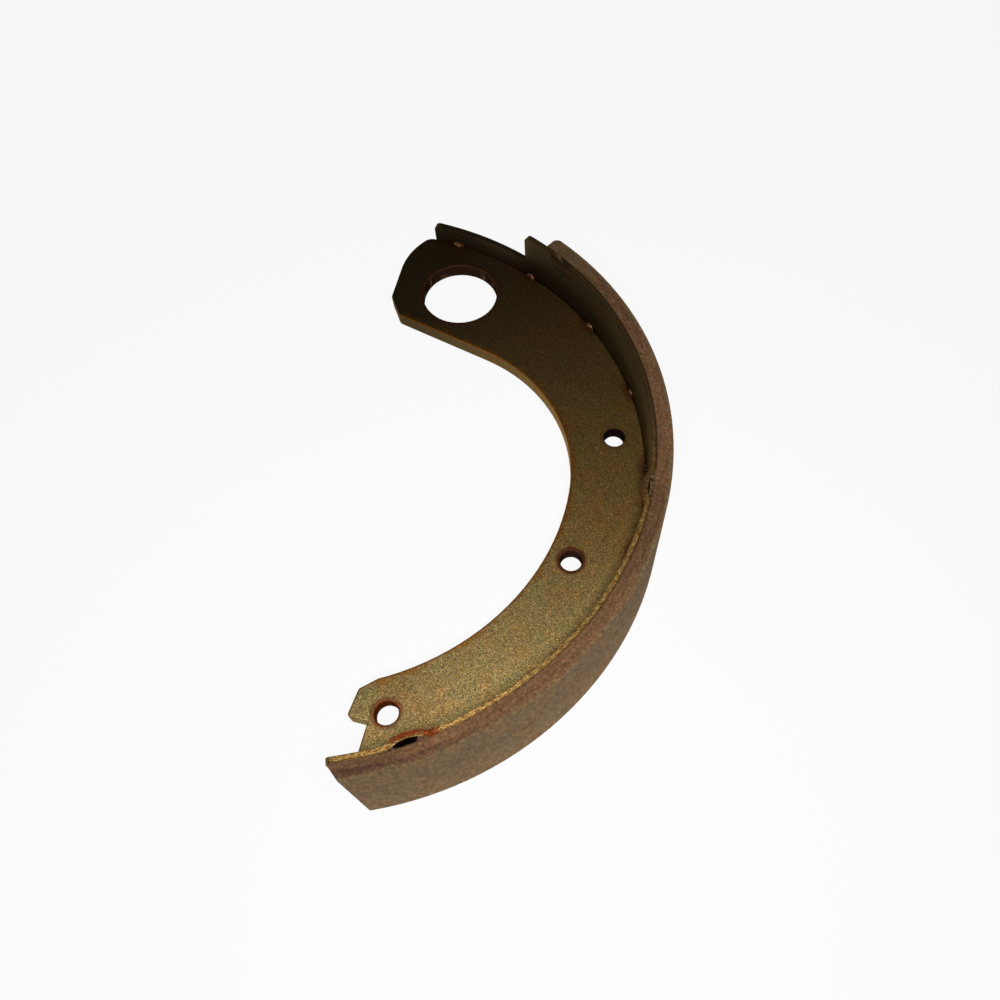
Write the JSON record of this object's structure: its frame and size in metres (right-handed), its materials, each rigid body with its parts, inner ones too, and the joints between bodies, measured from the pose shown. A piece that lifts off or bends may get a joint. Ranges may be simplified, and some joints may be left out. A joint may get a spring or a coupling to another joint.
{
  "type": "brake shoe",
  "caption": "Curved drum brake shoe: a flat crescent web with a pivot bore and a hooked toe, welded inside a rolled table that carries a bonded friction lining.",
  "frame": {"origin": "on the brake drum's axis, in the plane of the lower edge of table and lining, on which the shoe lies", "axes": "+Z along the drum's axis, towards the edge with the nibs; +Y from the drum's axis to the middle of the anchor bore; +X towards the lining"},
  "size_m": [0.1418, 0.2027, 0.0444],
  "materials": {
    "web": "satin",
    "table": "satin",
    "lining": "matte",
    "welds": "satin"
  },
  "bodies": {
    "root": {"web": "web", "table": "table", "lining": "lining", "welds": "welds"}
  },
  "joints": []
}
